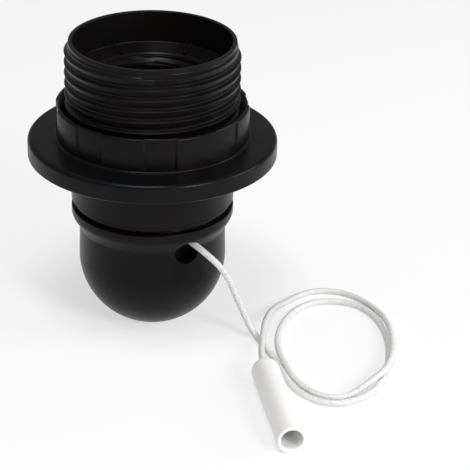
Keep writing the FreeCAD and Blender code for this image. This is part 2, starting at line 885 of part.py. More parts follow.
def pull_slider():
    foot, top = D.slider_foot, D.slider_top
    low_side = D.slider_side - D.slider_width
    bar = box("slider_bar", (-D.slider_back, D.slider_front), (low_side, D.slider_side), (foot, top))
    tab_span = (-D.slider_back, D.tab_thickness - D.slider_back)
    tab = box("slider_tab", tab_span, (low_side - D.tab_reach, low_side), (foot, top))
    pawl_x = -D.slider_travel / 2
    half = D.pawl_thickness / 2
    pawl_y = D.wheel_width / 2
    reach = D.pawl_width / 2
    pawl_side = (pawl_y - reach, pawl_y + reach)
    pawl = box("slider_pawl", (pawl_x - half, pawl_x + half), pawl_side, (foot - D.pawl_depth, foot))
    room = D.ferrule_radius + D.slide_gap
    pocket_back = D.ferrule_front - D.ferrule_length - D.slide_gap
    pocket = box(
        "ferrule_pocket",
        (pocket_back, D.ferrule_front),
        (D.cord_side - room, D.cord_side + room),
        (D.cord_height - D.ferrule_radius, top),
    )
    eye_span = (pocket_back - D.slider_travel - D.slide_gap, D.slider_front)
    eye = rod("slider_eye", "X", D.cord_diameter / 2 + D.cord_gap, eye_span, D.cord_side, D.cord_height)
    solid = fuse("slider_solid", [bar, tab, pawl])
    return keep(cut("slider_cut", solid, [pocket, eye]), "pull_slider", turned=True)


def cord_ferrule():
    span = (D.ferrule_front - D.ferrule_length, D.ferrule_front)
    sleeve = rod("ferrule_sleeve", "X", D.ferrule_radius, span, D.cord_side, D.cord_height)
    bore = rod("ferrule_bore", "X", D.ferrule_bore, span, D.cord_side, D.cord_height)
    return keep(cut("ferrule_cut", sleeve, [bore]), "cord_ferrule", turned=True)


def return_spring():
    """Open V of spring strip between the slider's tab and the base's front wall."""
    body = new_body("return_spring")
    sketch = new_sketch(body, "return_spring_sketch", "XY_Plane")
    bind(sketch, ".AttachmentOffset.Base.z", D.slider_foot + D.leaf_thickness)
    front = D.base_front - D.base_wall
    back = D.tab_thickness - D.slider_back
    middle = (front + back) / 2
    near = D.slider_side - D.slider_width - D.slide_gap * 3
    far = D.base_wall - D.base_half + D.slide_gap * 2
    thick = D.spring_thickness * 1.25
    corners = [
        (front, near),
        (middle, far + thick),
        (back, near),
        (back, near - thick),
        (middle, far),
        (front, near - thick),
    ]
    draw_outline(sketch, corners)
    pad = body.newObject("PartDesign::Pad", "return_spring_pad")
    pad.Profile = sketch
    bind(pad, "Length", D.slider_thickness - D.leaf_thickness * 2)
    return keep(body, "return_spring", turned=True)


def wheel_sketch(body, name, y_top):
    sketch = new_sketch(body, name, "XZ_Plane")
    bind(sketch, ".AttachmentOffset.Base.y", D.wheel_height)
    bind(sketch, ".AttachmentOffset.Base.z", -size_of(y_top))
    return sketch


def wheel_step(body, kind, name, sketch, length):
    feature = body.newObject(f"PartDesign::{kind}", name)
    feature.Profile = sketch
    bind(feature, "Length", length)
    feature.Reversed = kind == "Pocket"
    return feature


def ratchet_wheel():
    body = new_body("ratchet_wheel")
    disc = wheel_sketch(body, "disc_sketch", D.wheel_width)
    draw_circle(disc, D.wheel_radius)
    wheel_step(body, "Pad", "disc", disc, D.wheel_width)
    cam = wheel_sketch(body, "cam_sketch", 0)
    reach = D.cam_radius
    draw_outline(cam, [(reach, 0), (0, reach), (-reach, 0), (0, -reach)])
    wheel_step(body, "Pad", "cam", cam, D.cam_width)
    gap = wheel_sketch(body, "tooth_gap_sketch", D.wheel_width)
    outer = D.wheel_radius + D.pawl_depth
    half = D.gap_half_angle
    middle = 180 / D.tooth_count
    near, far = middle - half, middle + half
    places = [(D.wheel_root, near), (outer, near), (outer, far), (D.wheel_root, far)]
    draw_outline(gap, [(radius * cosine(side), radius * sine(side)) for radius, side in places])
    pocket = wheel_step(body, "Pocket", "tooth_gap", gap, D.wheel_width)
    polar_pattern(body, "tooth_gaps", pocket, (gap, ["N_Axis"]), D.tooth_count)
    bore = wheel_sketch(body, "wheel_bore_sketch", D.wheel_width)
    draw_circle(bore, D.axle_radius + D.axle_gap)
    wheel_step(body, "Pocket", "wheel_bore", bore, D.wheel_width + D.cam_width)
    return keep(body, "ratchet_wheel", turned=True)


def wheel_axle():
    body = new_body("wheel_axle")
    sketch = wheel_sketch(body, "axle_sketch", D.base_half)
    draw_circle(sketch, D.axle_radius)
    wheel_step(body, "Pad", "axle_pad", sketch, D.base_half * 2)
    return keep(body, "wheel_axle", turned=True)


def moving_contact():
    leaf, arm = D.leaf_thickness, D.arm_height
    back = D.base_wall - D.base_back + leaf
    front = D.fixed_place + D.button_radius + leaf / 2
    tab = D.rivet_head - D.rivet_place
    top = D.block_foot
    corners = [
        (back, arm),
        (front, arm),
        (front, arm + leaf),
        (back + leaf, arm + leaf),
        (back + leaf, top - leaf),
        (tab, top - leaf),
        (tab, top),
        (back, top),
    ]
    button = rod("button", "Z", D.button_radius, (arm - leaf * 2, arm), D.fixed_place, D.arm_side)
    hole = rivet_hole("arm_rivet_hole", 0, (top - leaf, top))
    side = D.arm_side + D.arm_width / 2
    return bent_strip("moving_contact", corners, side, D.arm_width, extra=[button], holes=[hole])


def fixed_span():
    return (D.fixed_place - D.strip_width / 2, D.fixed_place + D.strip_width / 2)


def fixed_contact():
    foot = D.strip_foot
    top = foot + D.strip_thickness
    near, far = fixed_span()
    start = D.arm_side + D.button_radius * 1.5
    corners = [(near, foot), (far, foot), (far, top), (near, top)]
    return bent_strip("fixed_contact", corners, start, D.terminal_inner + start)


def detent_spring():
    floor, leaf = D.tray_floor, D.leaf_thickness
    near = -D.wheel_radius - leaf
    stem = near - D.wheel_play
    back = stem - D.detent_foot
    corners = [
        (back, floor),
        (stem, floor),
        (stem, D.wheel_height),
        (near, D.wheel_height + leaf * 3),
        (near - leaf, D.wheel_height + leaf * 4),
        (stem - leaf, D.wheel_height + leaf),
        (stem - leaf, floor + leaf),
        (back, floor + leaf),
    ]
    side = (D.wheel_width + D.pawl_width) / 2
    return bent_strip("detent_spring", corners, side, D.pawl_width)


# ---------------------------------------------------------------- cord and bell


def rounded_path(points):
    """Straight runs joined by tangent arcs, each as large as its two runs allow."""
    edges = []
    radii = []
    start = points[0]
    for before, corner, after in zip(points, points[1:], points[2:]):
        back = (before - corner).normalize()
        ahead = (after - corner).normalize()
        half_turn = (math.pi - back.getAngle(ahead)) / 2
        reach = 0.45 * min((before - corner).Length, (after - corner).Length)
        radius = reach / math.tan(half_turn)
        entry = corner + back * reach
        leave = corner + ahead * reach
        inward = (back + ahead).normalize()
        centre = corner + inward * (radius / math.cos(half_turn))
        middle = centre - inward * radius
        edges.append(Part.LineSegment(start, entry).toShape())
        edges.append(Part.Arc(entry, middle, leave).toShape())
        radii.append(round(radius, 1))
        start = leave
    edges.append(Part.LineSegment(start, points[-1]).toShape())
    return Part.Wire(edges), radii


def cord_tube(label, points):
    path, radii = rounded_path(points)
    radius = D.cord_diameter.value / 2
    ahead = (points[1] - points[0]).normalize()
    section = Part.Wire(Part.makeCircle(radius, points[0], ahead))
    solid = path.makePipeShell([section], True, False)
    expected = math.pi * radius**2 * path.Length
    print(label, "length", round(path.Length, 1), "radii", radii, "volume", round(solid.Volume / expected, 4))
    item = DOC.addObject("Part::Feature", f"{label}_tube")
    item.Shape = solid
    return keep(item, label)


def turned_point(x, y, z):
    angle = FreeCAD.Rotation(V(0, 0, 1), D.pull_angle.value)
    return angle.multVec(V(x, y, z))


def bell_direction():
    angle = math.radians(D.bell_turn.value)
    return V(math.sin(angle), -math.cos(angle), 0)


def cord_lead():
    side, height = D.cord_side.value, D.cord_height.value
    start = (D.ferrule_front - D.ferrule_length).value
    bend = (D.dome_radius + D.lead_run).value
    points = [turned_point(start, side, height), turned_point(bend, side, height)]
    return cord_tube("cord_lead", points + LEAD_POINTS)


def cord_tail():
    pole = BELL_POLE + V(0, 0, D.bell_radius.value)
    end = pole + bell_direction() * KNOT_INSET
    return cord_tube("cord_tail", TAIL_POINTS + [pole, end])


def cord_coil():
    """Closed band of the loose turns: an oval ring lying flat."""
    body = new_body("cord_coil")
    sketch = new_sketch(body, "coil_sketch", "XY_Plane")
    for half_length, half_width in (
        (D.coil_half_length, D.coil_half_width),
        (D.coil_half_length - D.coil_band, D.coil_half_width - D.coil_band),
    ):
        draw_oval(sketch, half_length, half_width)
    pad = body.newObject("PartDesign::Pad", "coil_pad")
    pad.Profile = sketch
    bind(pad, "Length", D.coil_height)
    body.Placement = FreeCAD.Placement(COIL_CENTRE, FreeCAD.Rotation())
    return keep(body, "cord_coil")


def draw_oval(sketch, half_length, half_width):
    """Ellipse round the sketch origin, longer along Y."""
    length, width = half_length.value, half_width.value
    shape = Part.Ellipse(V(0, length, 0), V(width, 0, 0), V(0, 0, 0))
    oval = sketch.addGeometry(shape, False)
    sketch.exposeInternalGeometry(oval)
    major, minor = oval + 1, oval + 2
    rules = [
        ("Distance", major, half_length * 2),
        ("Distance", minor, half_width * 2),
    ]
    sketch.addConstraint(Sketcher.Constraint("Coincident", oval, 3, -1, 1))
    sketch.addConstraint(Sketcher.Constraint("Vertical", major))
    for kind, line, size in rules:
        index = sketch.addConstraint(Sketcher.Constraint(kind, line, size.value))
        sketch.setExpression(f"Constraints[{index}]", size.text)


def pull_bell():
    """Tube with a domed closed end, drawn with the dome's pole at the origin."""
    body = new_body("pull_bell")
    hole = D.cord_diameter / 2 + D.seat_gap * 5
    crown = D.bell_radius - leg(D.bell_radius, hole)
    corners = [
        (hole, crown),
        (D.bell_radius, D.bell_radius),
        (D.bell_radius, D.bell_length - D.slot_width),
        (D.bell_radius - D.slot_width, D.bell_length),
        (D.bell_bore, D.bell_length),
        (D.bell_bore, D.bell_length - D.bell_depth),
        (hole, D.bell_length - D.bell_depth),
    ]
    corners = [(x, -y) for x, y in corners]
    dome = (0, -D.bell_radius, -1)
    turned_feature(body, "Revolution", "bell_wall", corners, {0: dome})
    pole = BELL_POLE + V(0, 0, D.bell_radius.value)
    body.Placement = FreeCAD.Placement(pole, FreeCAD.Rotation(V(0, 0, -1), bell_direction()))
    return keep(body, "pull_bell")


def bell_knot():
    item = DOC.addObject("Part::Sphere", "knot")
    bind(item, "Radius", D.knot_radius)
    reach = D.bell_length.value - D.bell_depth.value + D.knot_radius.value
    pole = BELL_POLE + V(0, 0, D.bell_radius.value)
    item.Placement = FreeCAD.Placement(pole + bell_direction() * reach, FreeCAD.Rotation())
    return keep(item, "bell_knot")


def check_document():
    DOC.recompute()
    for item in DOC.Objects:
        if {"Invalid", "Error"} & set(item.State):
            raise RuntimeError(f"{item.Name} ({item.Label}) is {item.State}")
    for item in SUB_PARTS:
        if item.Shape.isNull() or not item.Shape.isValid():
            raise RuntimeError(f"{item.Label} has no valid shape")


def write_parts():
    os.makedirs("parts", exist_ok=True)
    for item in SUB_PARTS:
        item.Shape.exportStep(f"parts/{item.Label}.step")
        print(f"{item.Label:18s} solids {len(item.Shape.Solids)} volume {item.Shape.Volume:9.1f}")


for make in (
    threaded_barrel, dome_cap, nipple_screw, shade_ring, contact_block, contact_rivets,
    centre_contact, side_contact, clamp_screws, switch_base, core_screws, pull_slider,
    cord_ferrule, return_spring, ratchet_wheel, wheel_axle, moving_contact, fixed_contact,
    detent_spring, cord_lead, cord_coil, cord_tail, pull_bell, bell_knot,
):
    make()
terminal("neutral_terminal", 1)
terminal("live_terminal", -1)
check_document()
write_parts()
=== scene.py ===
import math

import bmesh
import bpy
from mathutils import Euler, Matrix, Vector


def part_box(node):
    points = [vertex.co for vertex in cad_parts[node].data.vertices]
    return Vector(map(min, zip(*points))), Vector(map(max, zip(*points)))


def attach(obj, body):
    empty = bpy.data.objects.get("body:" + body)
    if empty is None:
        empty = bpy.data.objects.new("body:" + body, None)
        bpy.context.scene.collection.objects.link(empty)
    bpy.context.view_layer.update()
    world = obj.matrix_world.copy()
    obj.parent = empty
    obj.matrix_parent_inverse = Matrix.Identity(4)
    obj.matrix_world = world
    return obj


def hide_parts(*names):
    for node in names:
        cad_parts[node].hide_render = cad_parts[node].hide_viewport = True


# Edison-screw lampholder standing mouth up on a pale floor, with its pull cord coiled beside
# it. The outer mouldings, the cord and the bell are made here on the CAD frame; the pieces
# inside are the CAD nodes with materials. Sizes are in millimetres, in the part's own frame.

MM = 0.001
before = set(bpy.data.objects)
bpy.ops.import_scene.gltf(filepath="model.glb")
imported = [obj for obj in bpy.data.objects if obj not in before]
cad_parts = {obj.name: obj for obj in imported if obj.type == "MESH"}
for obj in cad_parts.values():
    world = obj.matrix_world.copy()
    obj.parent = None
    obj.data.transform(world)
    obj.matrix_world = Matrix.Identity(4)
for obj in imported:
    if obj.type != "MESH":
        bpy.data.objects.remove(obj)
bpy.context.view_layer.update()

PULL_ANGLE = math.radians(-62.4)
SEGMENTS = 192
FULL_TURN = 2 * math.pi
WELD = 2e-7
SHARP = 32
BRAID_SHARP = 60


# ---------------------------------------------------------------- mesh building


def smooth_step(value):
    value = min(max(value, 0.0), 1.0)
    return value * value * (3 - 2 * value)


def turn_angles(count=None):
    count = count or SEGMENTS
    return [FULL_TURN * index / count for index in range(count + 1)]


def lathe(name, rows, angles, closed=True):
    """Mesh round Z. Each row is (r, z), or a function of the angle that gives it. A closed one
    joins the last row to the first."""
    mesh = bmesh.new()
    grid = []
    for row in rows:
        line = []
        for angle in angles:
            radius, height = row(angle) if callable(row) else row
            place = (radius * math.cos(angle), radius * math.sin(angle), height)
            line.append(mesh.verts.new([size * MM for size in place]))
        grid.append(line)
    if closed:
        grid.append(grid[0])
    for lower, upper in zip(grid, grid[1:]):
        for index in range(len(angles) - 1):
            corners = (lower[index], lower[index + 1], upper[index + 1], upper[index])
            mesh.faces.new(corners)
    return finish_mesh(name, mesh)


def finish_mesh(name, mesh):
    bmesh.ops.remove_doubles(mesh, verts=mesh.verts, dist=WELD)
    bmesh.ops.dissolve_degenerate(mesh, edges=mesh.edges, dist=WELD)
    bmesh.ops.recalc_face_normals(mesh, faces=mesh.faces)
    data = bpy.data.meshes.new(name)
    mesh.to_mesh(data)
    mesh.free()
    return add_object(name, data)


def add_object(name, data):
    item = bpy.data.objects.new(name, data)
    bpy.context.scene.collection.objects.link(item)
    return item


def shade(item, degrees=SHARP):
    """Smooth shading, with edges sharper than the given angle kept."""
    for face in item.data.polygons:
        face.use_smooth = True
    item.data.set_sharp_from_angle(angle=math.radians(degrees))
    return item


def arc_rows(centre, radius, first, last, count):
    """Rows along an arc; the angles run from the outward direction towards +Z."""
    rows = []
    for index in range(count + 1):
        angle = math.radians(first + (last - first) * index / count)
        rows.append((centre[0] + radius * math.cos(angle), centre[1] + radius * math.sin(angle)))
    return rows


def round_corners(points, radius, count=4):
    """The points of an open outline, with each inner corner rounded."""
    points = [Vector(point) for point in points]
    rows = [points[0]]
    for before, corner, after in zip(points, points[1:], points[2:]):
        back, ahead = before - corner, after - corner
        reach = min(radius, 0.45 * back.length, 0.45 * ahead.length)
        entry = corner + back.normalized() * reach
        leave = corner + ahead.normalized() * reach
        for index in range(count + 1):
            share = index / count
            rows.append(entry.lerp(corner, share).lerp(corner.lerp(leave, share), share))
    rows.append(points[-1])
    return [tuple(row) for row in rows]


def thread_rows(ridge, pitch, top, bottom, base, phase, fade):
    """Rows of a right-hand thread between two heights, going up. ridge lists (height, rise)
    across one pitch, the heights growing. base is the radius that the rises add to, phase the
    angle at which a pitch starts, and fade the pitches over which the thread runs out."""
    rows = []
    phase %= FULL_TURN
    turns = math.ceil((top - bottom) / pitch) + 2
    for turn in range(-1, turns):
        for height, rise in ridge:
            lift = turn * pitch + height
            rows.append(thread_row(lift, rise, pitch, top, bottom, base, phase, fade))
    return rows


def thread_row(lift, rise, pitch, top, bottom, base, phase, fade):
    """One row of a thread, as a function of the angle."""

    def place(angle):
        height = bottom + lift + pitch * (angle - phase) / FULL_TURN
        inside = min(height - bottom, top - height) / (fade * pitch)
        return base + rise * smooth_step(inside), min(max(height, bottom), top)

    return place


def join(name, items):
    """One mesh from several."""
    whole = bmesh.new()
    for item in items:
        whole.from_mesh(item.data)
        bpy.data.objects.remove(item)
    data = bpy.data.meshes.new(name)
    whole.to_mesh(data)
    whole.free()
    return add_object(name, data)


def cut_away(item, cutter):
    """item with the cutter's space taken out of it."""
    change = item.modifiers.new("cut", "BOOLEAN")
    change.operation = "DIFFERENCE"
    change.solver = "EXACT"
    change.object = cutter
    bpy.context.view_layer.update()
    graph = bpy.context.evaluated_depsgraph_get()
    data = bpy.data.meshes.new_from_object(item.evaluated_get(graph))
    item.modifiers.clear()
    item.data = data
    bpy.data.objects.remove(cutter)
    return item


def stand_along(item, start, direction):
    """Moves a mesh made round Z to a start point, with its Z along a direction."""
    turn = Vector((0, 0, 1)).rotation_difference(direction).to_matrix().to_4x4()
    item.data.transform(Matrix.Translation(start * MM) @ turn)
    return item


def rod_between(name, start, end, radius, count):
    """Closed round rod from start to end."""
    axis = end - start
    rows = [(0, 0), (radius, 0), (radius, axis.length), (0, axis.length)]
    rod = lathe(name, rows, turn_angles(count), closed=False)
    return stand_along(rod, start, axis.normalized())


# ---------------------------------------------------------------- materials


def new_material(name):
    material = bpy.data.materials.new(name)
    material.use_nodes = True
    return material, material.node_tree.nodes, material.node_tree.links


def noise(nodes, links, place, scale, detail=3.0):
    """Noise value over the piece; scale is in waves a metre."""
    texture = nodes.new("ShaderNodeTexNoise")
    texture.inputs["Scale"].default_value = scale
    texture.inputs["Detail"].default_value = detail
    links.new(place.outputs["Object"], texture.inputs["Vector"])
    return texture.outputs["Fac"]


def spread(nodes, links, source, low, high, target):
    """Feeds a noise value to a socket, stretched to a range."""
    change = nodes.new("ShaderNodeMapRange")
    change.inputs["From Min"].default_value = 0.3
    change.inputs["From Max"].default_value = 0.7
    change.inputs["To Min"].default_value = low
    change.inputs["To Max"].default_value = high
    links.new(source, change.inputs["Value"])
    links.new(change.outputs["Result"], target)


def mixed_color(nodes, links, source, first, second, target):
    """Feeds a noise value to a colour socket, as a blend of two colours."""
    ramp = nodes.new("ShaderNodeValToRGB")
    ramp.color_ramp.elements[0].position = 0.3
    ramp.color_ramp.elements[0].color = (*first, 1)
    ramp.color_ramp.elements[1].position = 0.7
    ramp.color_ramp.elements[1].color = (*second, 1)
    links.new(source, ramp.inputs["Fac"])
    links.new(ramp.outputs["Color"], target)


def grained(nodes, links, place, scale, strength, target):
    """Feeds a fine bump to a normal socket."""
    bump = nodes.new("ShaderNodeBump")
    bump.inputs["Strength"].default_value = strength
    bump.inputs["Distance"].default_value = 0.0001
    links.new(noise(nodes, links, place, scale, 2), bump.inputs["Height"])
    links.new(bump.outputs["Normal"], target)


def plastic(name, colors, gloss, grain, grain_scale, specular=0.5, glow=0.0):
    """Moulded plastic: two close colours, an uneven gloss, a fine grain and light let in by glow."""
    material, nodes, links = new_material(name)
    shader = nodes["Principled BSDF"]
    shader.inputs["Specular IOR Level"].default_value = specular
    shader.inputs["Subsurface Weight"].default_value = glow
    shader.inputs["Subsurface Radius"].default_value = (0.0024, 0.0022, 0.0018)
    place = nodes.new("ShaderNodeTexCoord")
    patches = noise(nodes, links, place, 45)
    mixed_color(nodes, links, patches, *colors, shader.inputs["Base Color"])
    smears = noise(nodes, links, place, 160, 5)
    spread(nodes, links, smears, *gloss, shader.inputs["Roughness"])
    grained(nodes, links, place, grain_scale, grain, shader.inputs["Normal"])
    return material


def metal(name, color, roughness, scratch_scale=400.0):
    """Plated or rolled metal with faint patches and an uneven gloss."""
    material, nodes, links = new_material(name)
    shader = nodes["Principled BSDF"]
    shader.inputs["Metallic"].default_value = 1
    place = nodes.new("ShaderNodeTexCoord")
    duller = tuple(0.86 * channel for channel in color)
    patches = noise(nodes, links, place, 220)
    mixed_color(nodes, links, patches, color, duller, shader.inputs["Base Color"])
    gloss = roughness - 0.07, roughness + 0.07
    scratches = noise(nodes, links, place, scratch_scale, 6)
    spread(nodes, links, scratches, *gloss, shader.inputs["Roughness"])
    return material


def braid(name, light, dark):
    """Braided nylon: fibres of two close whites that let a little light through."""
    material, nodes, links = new_material(name)
    shader = nodes["Principled BSDF"]
    shader.inputs["Roughness"].default_value = 0.42
    shader.inputs["Sheen Weight"].default_value = 0.15
    shader.inputs["Subsurface Weight"].default_value = 0.12
    shader.inputs["Subsurface Radius"].default_value = (0.0004, 0.0004, 0.0004)
    place = nodes.new("ShaderNodeTexCoord")
    fibres = noise(nodes, links, place, 1500)
    mixed_color(nodes, links, fibres, dark, light, shader.inputs["Base Color"])
    grained(nodes, links, place, 6000, 0.25, shader.inputs["Normal"])
    return material


WARM_BLACK = (0.0048, 0.0030, 0.0026)
COOL_BLACK = (0.0032, 0.0036, 0.0044)
BLACKS = (WARM_BLACK, COOL_BLACK)
WHITES = ((0.88, 0.875, 0.86), (0.90, 0.895, 0.885))
IVORIES = ((0.60, 0.56, 0.46), (0.56, 0.52, 0.42))
GREYS = ((0.10, 0.10, 0.105), (0.085, 0.085, 0.09))
BLACK = plastic("black_thermoplastic", BLACKS, (0.28, 0.36), 0.10, 1500, specular=0.13)
WHITE = plastic("white_plastic", WHITES, (0.34, 0.42), 0.04, 700, specular=0.4, glow=0.5)
IVORY = plastic("ivory_insulator", IVORIES, (0.5, 0.6), 0.15, 900)
GREY = plastic("grey_insulator", GREYS, (0.5, 0.6), 0.15, 900)
BRASS = metal("spring_brass", (0.78, 0.57, 0.25), 0.30)
TURNED = metal("turned_brass", (0.80, 0.62, 0.30), 0.26, 700)
ZINC = metal("plated_steel", (0.62, 0.62, 0.63), 0.30)
SPRING = metal("spring_steel", (0.50, 0.50, 0.52), 0.28)
CORD = braid("white_cord", (0.80, 0.80, 0.79), (0.66, 0.66, 0.655))

CAD_FINISH = {
    IVORY: ["contact_block"],
    GREY: ["switch_base"],
    BRASS: ["centre_contact", "side_contact", "moving_contact", "fixed_contact"],
    TURNED: ["live_terminal", "neutral_terminal", "cord_ferrule"],
    ZINC: ["contact_rivets", "terminal_screws", "core_screws", "wheel_axle", "nipple_screw"],
    WHITE: ["pull_slider", "ratchet_wheel"],
    SPRING: ["return_spring", "detent_spring"],
}


def paint(item, material):
    item.data.materials.clear()
    item.data.materials.append(material)


def dress(item, material):
    paint(item, material)
    return item


def paint_cad_nodes():
    for material, names in CAD_FINISH.items():
        for name in names:
            paint(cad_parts[name], material)


# ---------------------------------------------------------------- threaded barrel

RIM_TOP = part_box("threaded_barrel")[1][2] / MM
RIM_OUTER = 18.9
MOUTH = 17.9
THREAD_ROOT = 19.1
THREAD_CREST = 19.9
THREAD_PITCH = 2.5
# Heights within one pitch at which a ridge starts, peaks and ends.
RIDGE_START = 0.15
RIDGE_PEAK = 1.9
RIDGE_END = 2.3
THREAD_ROUND = 0.14
THREAD_TOP = 66.5
THREAD_FOOT = 44.4
FIRST_CREST = 65.9
SKIRT = 18.65
SKIRT_FOOT = 29.7
SOCKET = 13.25
FLOOR_OUTER = 60.3
FLOOR_INNER = 59.2
LIP = 13.9
SOCKET_FOOT = 44.3
WELL = 13.9
WELL_FOOT = 36.5
WELL_OUTER = 15.3
FLOOR_UNDER = 58.8
SKIRT_BORE = 17.05
SKIRT_BORE_FOOT = 28.9
SKIRT_LIP = 18.05
SKIRT_TOP = 42.6
SKIRT_FLARE_TOP = 43.4
RIM_ROUND = 0.22
MOUTH_RIBS = 6
MOUTH_RIB = 0.36
LAMP_PITCH = 3.63
LAMP_DEPTH = 1.0
FIRST_LAMP_CREST = 57.2
LAMP_THREAD_TOP = FLOOR_INNER - 0.9
LAMP_THREAD_FOOT = SOCKET_FOOT + 1.0


def outer_thread():
    """Saw-shaped 40 x 2.5 thread, turned so that the first crest is at FIRST_CREST in front."""
    rise = THREAD_CREST - THREAD_ROOT
    outline = [(0, 0), (RIDGE_START, 0), (RIDGE_PEAK, rise), (RIDGE_END, 0), (THREAD_PITCH - 0.01, 0)]
    ridge = round_corners(outline, THREAD_ROUND)
    turns = (FIRST_CREST - THREAD_FOOT - RIDGE_PEAK) / THREAD_PITCH
    phase = math.radians(-90) - FULL_TURN * turns
    return thread_rows(ridge, THREAD_PITCH, THREAD_TOP, THREAD_FOOT, THREAD_ROOT, phase, 0.3)


def lamp_thread():
    """Rounded E27 thread, turned so that the first crest is at FIRST_LAMP_CREST at the back."""
    steps = 10
    knuckle = []
    for step in range(steps):
        share = step / steps
        rise = -LAMP_DEPTH * (0.5 + 0.5 * math.cos(FULL_TURN * share))
        knuckle.append((LAMP_PITCH * share, rise))
    turns = (FIRST_LAMP_CREST - LAMP_THREAD_FOOT) / LAMP_PITCH
    phase = math.radians(90) - FULL_TURN * turns
    return thread_rows(knuckle, LAMP_PITCH, LAMP_THREAD_TOP, LAMP_THREAD_FOOT, SOCKET, phase, 0.25)


def barrel():
    rim = round_corners(
        [
            (THREAD_ROOT, THREAD_TOP),
            (RIM_OUTER, THREAD_TOP + 0.25),
            (RIM_OUTER, RIM_TOP),
            (MOUTH, RIM_TOP),
            (MOUTH, FLOOR_OUTER),
            (LIP + 0.35, FLOOR_INNER - 0.1),
            (LIP, FLOOR_INNER - 0.5),
            (SOCKET, FLOOR_INNER - 0.55),
            (SOCKET, LAMP_THREAD_TOP),
        ],
        RIM_ROUND,
    )
    below = [
        (SOCKET, SOCKET_FOOT),
        (WELL, SOCKET_FOOT),
        (WELL, WELL_FOOT),
        (WELL_OUTER, WELL_FOOT),
        (WELL_OUTER, FLOOR_UNDER),
        (SKIRT_BORE, FLOOR_UNDER),
        (SKIRT_BORE, SKIRT_BORE_FOOT),
        (SKIRT_LIP, SKIRT_BORE_FOOT),
        (SKIRT_LIP, SKIRT_FOOT - 0.05),
        (SKIRT - 0.2, SKIRT_FOOT),
        (SKIRT, SKIRT_FOOT + 0.2),
        (SKIRT, SKIRT_TOP),
        (THREAD_ROOT, SKIRT_FLARE_TOP),
    ]
    rows = [*outer_thread(), *rim, *reversed(lamp_thread()), *below]
    wall = lathe("barrel_wall", rows, turn_angles())
    ribs = [mouth_rib(FULL_TURN * index / MOUTH_RIBS) for index in range(MOUTH_RIBS)]
    whole = join("threaded_barrel_moulding", [wall, *ribs])
    return dress(shade(whole), BLACK)


def mouth_rib(angle):
    """Half-round rib that runs in across the mouth's sloping floor."""
    along = Vector((math.cos(angle), math.sin(angle), 0))
    start = along * (LIP + 0.4) + Vector((0, 0, FLOOR_INNER + 0.1))
    end = along * (MOUTH + 0.1) + Vector((0, 0, FLOOR_OUTER + 0.1))
    return rod_between("mouth_rib", start, end, MOUTH_RIB, 24)


# ---------------------------------------------------------------- dome cap

SPHERE = 17.0
SPHERE_HEIGHT = 15.3
SHOULDER = 16.85
SHOULDER_FOOT = 22.3
SHOULDER_TOP = 26.4
CAP_RIM = 27.9
CAVITY = 15.1
BOSS = 7.4
BOSS_HEIGHT = 9.0
NIPPLE = 5.0
CORD_HOLE = 2.95
CORD_HOLE_HEIGHT = 22.2
NECK = 16.9
NECK_TOP = 35.0
INLET_CHAMFER = 0.5
INLET_PITCH = 1.0
GRUB_HOLE = 1.5
GRUB_HEIGHT = 4.5


def dome():
    """Round cap with a shoulder, a neck in the skirt, a threaded inlet and two side holes."""
    foot = math.degrees(math.asin(SPHERE_HEIGHT / SPHERE))
    shell = [(NIPPLE + INLET_CHAMFER, 0.0), *arc_rows((0, SPHERE_HEIGHT), SPHERE, -foot, 0, 40)]
    steps = 16
    for step in range(steps + 1):
        share = step / steps
        height = SHOULDER_FOOT + (SHOULDER_TOP - SHOULDER_FOOT) * share
        shell.append((SHOULDER + (SKIRT - SHOULDER) * smooth_step(share), height))
    neck = [
        (SKIRT, SHOULDER_TOP + 0.2),
        (SKIRT, CAP_RIM),
        (NECK, CAP_RIM),
        (NECK, NECK_TOP),
        (CAVITY, NECK_TOP),
    ]
    shell += round_corners(neck, 0.25)
    reach = math.degrees(math.acos(BOSS / CAVITY))
    shell += arc_rows((0, SPHERE_HEIGHT), CAVITY, 0, -reach, 24)
    inlet_top = BOSS_HEIGHT - INLET_CHAMFER
    shell += [(BOSS, BOSS_HEIGHT), (NIPPLE + INLET_CHAMFER, BOSS_HEIGHT), (NIPPLE, inlet_top)]
    ridge = [(0.0, 0.0), (0.1, 0.0), (0.42, -0.45), (0.55, -0.45), (0.88, 0.0)]
    shell += reversed(thread_rows(ridge, INLET_PITCH, inlet_top, INLET_CHAMFER, NIPPLE, 0.0, 0.5))
    cap = lathe("dome_cap_moulding", shell, turn_angles())
    out = Vector((math.cos(PULL_ANGLE), math.sin(PULL_ANGLE), 0))
    height = Vector((0, 0, CORD_HOLE_HEIGHT))
    cut_away(cap, rod_between("cord_hole", out * 10 + height, out * 22 + height, CORD_HOLE, 64))
    grub = Vector((0, 0, GRUB_HEIGHT))
    cut_away(cap, rod_between("grub_hole", grub - out * 4, grub - out * 8, GRUB_HOLE, 24))
    return dress(shade(cap), BLACK)


# ---------------------------------------------------------------- shade ring

RING_BORE = 19.96
COLLAR = 22.0
COLLAR_TOP = 52.8
FLANGE = 28.4
FLANGE_TOP = 44.8
FLANGE_EDGE = 1.0
FLANGE_FOOT = 40.5
FLANGE_CEILING = 42.4
FLANGE_RECESS = 26.8
COLLAR_FOOT = 21.6
RING_LEAD_IN = 1.3
GRIP_COUNT = 8
GRIP_PHASE = -85.5
GRIP_ANGLE = 18.4
GRIP_DEPTH = 0.4
GRIP_SLOPE = 0.55
GRIP_STEPS = (-0.8, -GRIP_SLOPE, GRIP_SLOPE, 0.8)


def ring_angles():
    """Even steps, with extra ones at the sides of each grip recess."""
    angles = set(turn_angles())
    for index in range(GRIP_COUNT):
        for side in (-0.5, 0.5):
            for step in GRIP_STEPS:
                degrees = 360 / GRIP_COUNT * index + GRIP_PHASE + side * GRIP_ANGLE + step
                angles.add(math.radians(degrees) % FULL_TURN)
    return sorted(angles)


